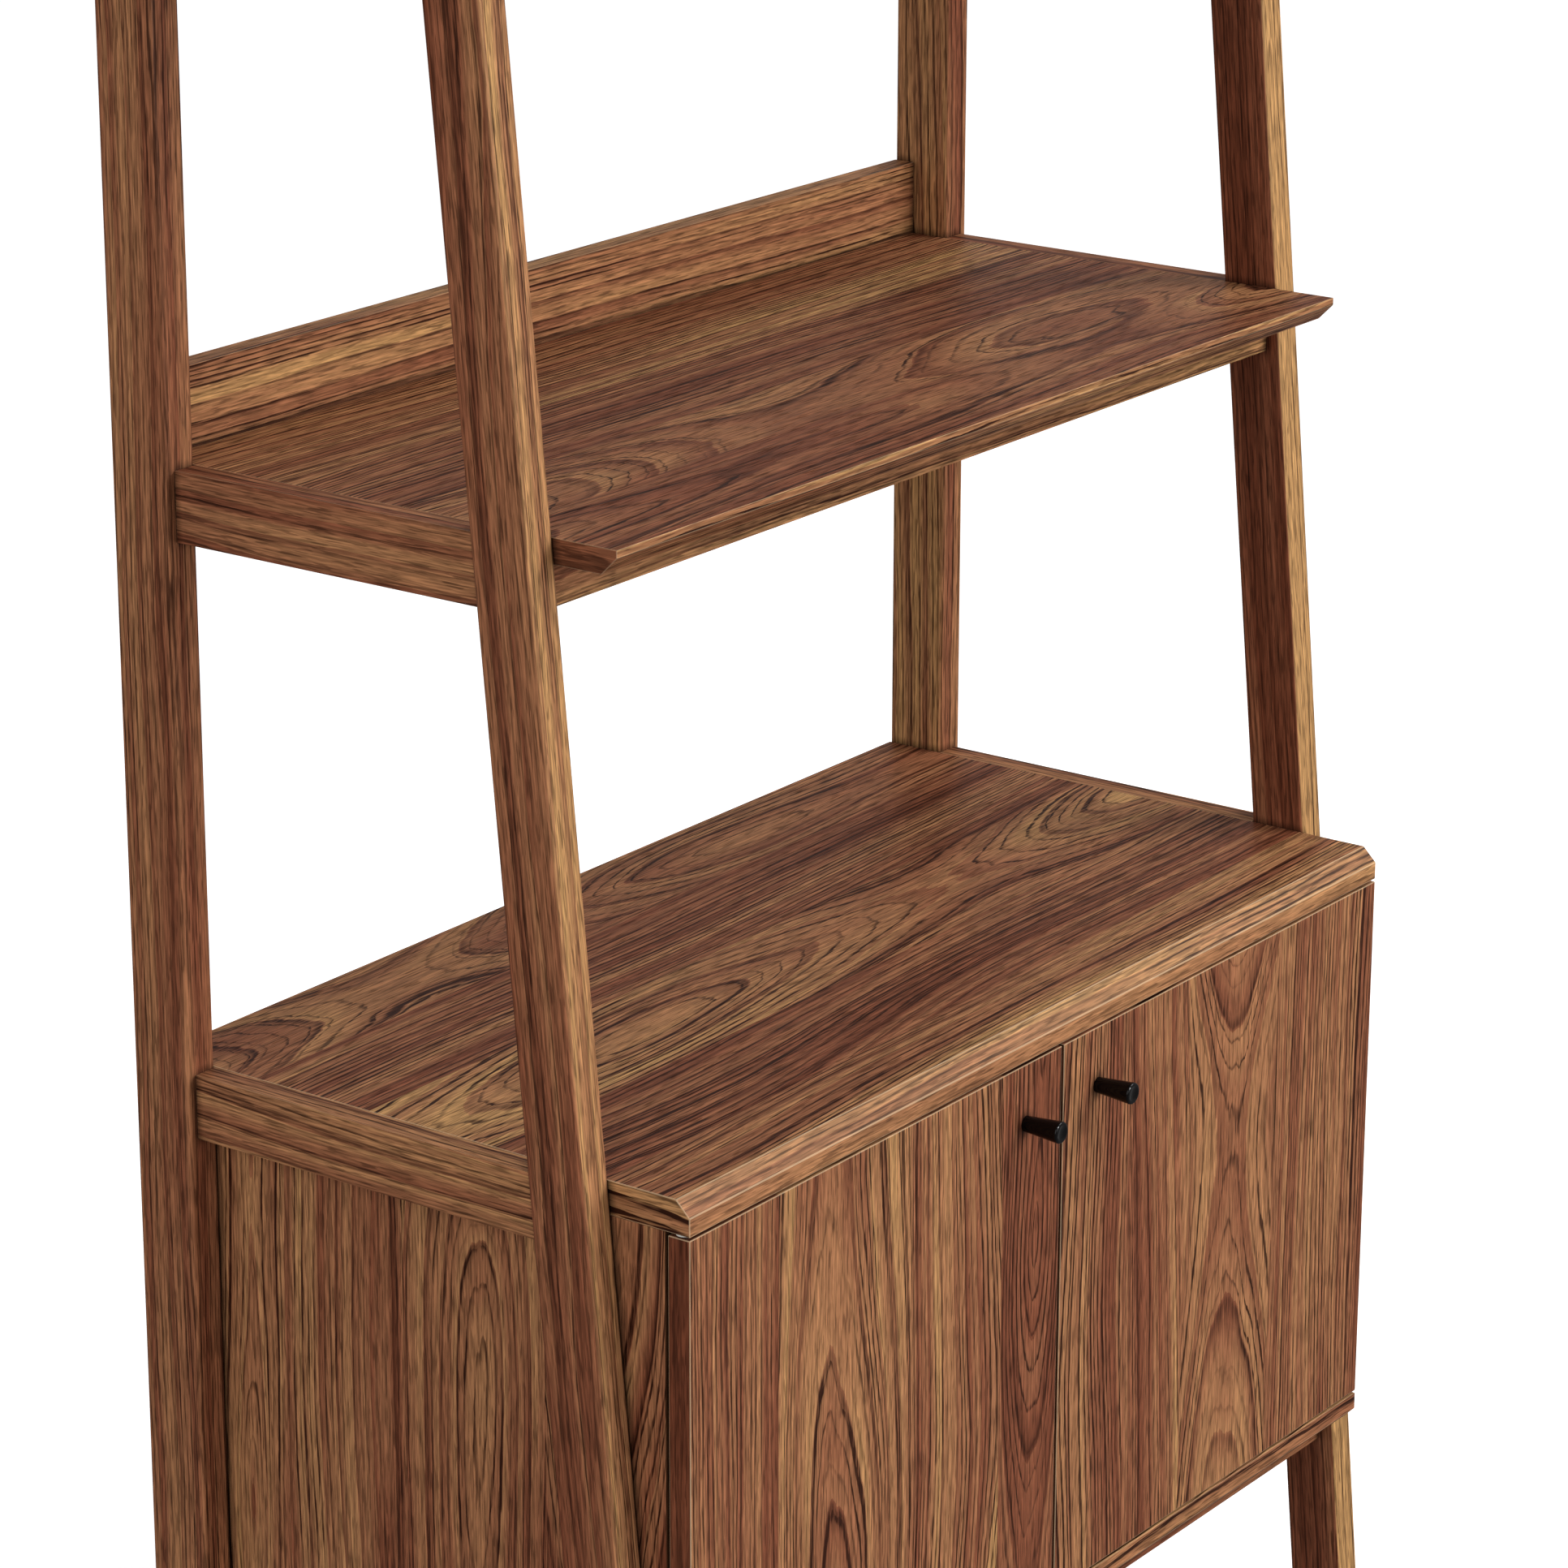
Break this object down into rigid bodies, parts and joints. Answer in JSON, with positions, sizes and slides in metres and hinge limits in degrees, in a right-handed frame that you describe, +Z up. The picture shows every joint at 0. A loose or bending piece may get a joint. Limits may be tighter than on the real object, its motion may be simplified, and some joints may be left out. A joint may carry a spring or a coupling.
{
  "type": "ladder shelf",
  "caption": "Walnut-veneered ladder shelf: upright posts, leaning front legs, open shelves with back lips, and a low cabinet with hinged doors and black knobs.",
  "frame": {"origin": "centre of the overall footprint, on the floor", "axes": "+Z up; the front with the doors and knobs faces -Y; +X to the right seen from behind the front face looking along +Y"},
  "size_m": [0.838, 0.4386, 1.829],
  "materials": {
    "walnut": "walnut-grain veneer, satin lacquer",
    "walnut_legs": "walnut-grain veneer along the length, satin lacquer",
    "walnut_doors": "walnut-grain veneer with upright grain, satin lacquer",
    "walnut_back": "thin board with printed walnut grain, matt",
    "beech": "plain beech",
    "black_knob": "polished black",
    "zinc_steel": "bright zinc plate",
    "zinc_cast": "die-cast grey",
    "painted_steel": "black powder coat",
    "black_nylon": "moulded black nylon",
    "white_nylon": "moulded natural nylon",
    "brown_plastic": "moulded brown plastic"
  },
  "bodies": {
    "frame": {"apron_dowels": "beech", "back_lip_lower": "walnut", "back_lip_middle": "walnut", "back_lip_upper": "walnut", "back_panel_screws": "zinc_steel", "bracket_screws": "zinc_steel", "cabinet_back_panel": "walnut_back", "cabinet_bottom_board": "walnut", "cabinet_front_apron": "walnut", "cabinet_inner_shelf": "walnut", "cabinet_side_left": "walnut", "cabinet_side_right": "walnut", "cabinet_top_board": "walnut", "cam_bolts": "zinc_steel", "cam_locks": "zinc_cast", "carcass_screws": "zinc_steel", "catch_housing": "brown_plastic", "catch_magnets": "zinc_steel", "catch_screws": "zinc_steel", "foot_glides": "black_nylon", "front_apron_lower": "walnut", "front_apron_middle": "walnut", "front_apron_upper": "walnut", "front_leg_left": "walnut_legs", "front_leg_right": "walnut_legs", "hinge_bushes": "white_nylon", "lip_dowels": "beech", "rail_dowels": "beech", "rear_post_left": "walnut_legs", "rear_post_right": "walnut_legs", "shelf_board_lower": "walnut", "shelf_board_middle": "walnut", "shelf_board_upper": "walnut", "shelf_support_pins": "zinc_steel", "side_rail_cabinet_bottom_left": "walnut", "side_rail_cabinet_bottom_right": "walnut", "side_rail_cabinet_top_left": "walnut", "side_rail_cabinet_top_right": "walnut", "side_rail_lower_left": "walnut", "side_rail_lower_right": "walnut", "side_rail_middle_left": "walnut", "side_rail_middle_right": "walnut", "side_rail_upper_left": "walnut", "side_rail_upper_right": "walnut", "wall_bracket_left": "painted_steel", "wall_bracket_right": "painted_steel"},
    "left_door": {"door_left": "walnut_doors", "hinge_pins_left": "zinc_steel", "knob_left": "black_knob", "knob_screw_left": "zinc_steel", "strike_plate_left": "zinc_steel", "strike_screw_left": "zinc_steel"},
    "right_door": {"door_right": "walnut_doors", "hinge_pins_right": "zinc_steel", "knob_right": "black_knob", "knob_screw_right": "zinc_steel", "strike_plate_right": "zinc_steel", "strike_screw_right": "zinc_steel"}
  },
  "joints": [
    {"name": "left_door_hinge", "type": "hinge", "parent": "frame", "child": "left_door", "pos_m": [-0.3885, -0.18385, 0.378], "axis": [0, 0, -1], "range_deg": [0, 110]},
    {"name": "right_door_hinge", "type": "hinge", "parent": "frame", "child": "right_door", "pos_m": [0.3885, -0.18385, 0.378], "axis": [0, 0, 1], "range_deg": [0, 110]}
  ]
}
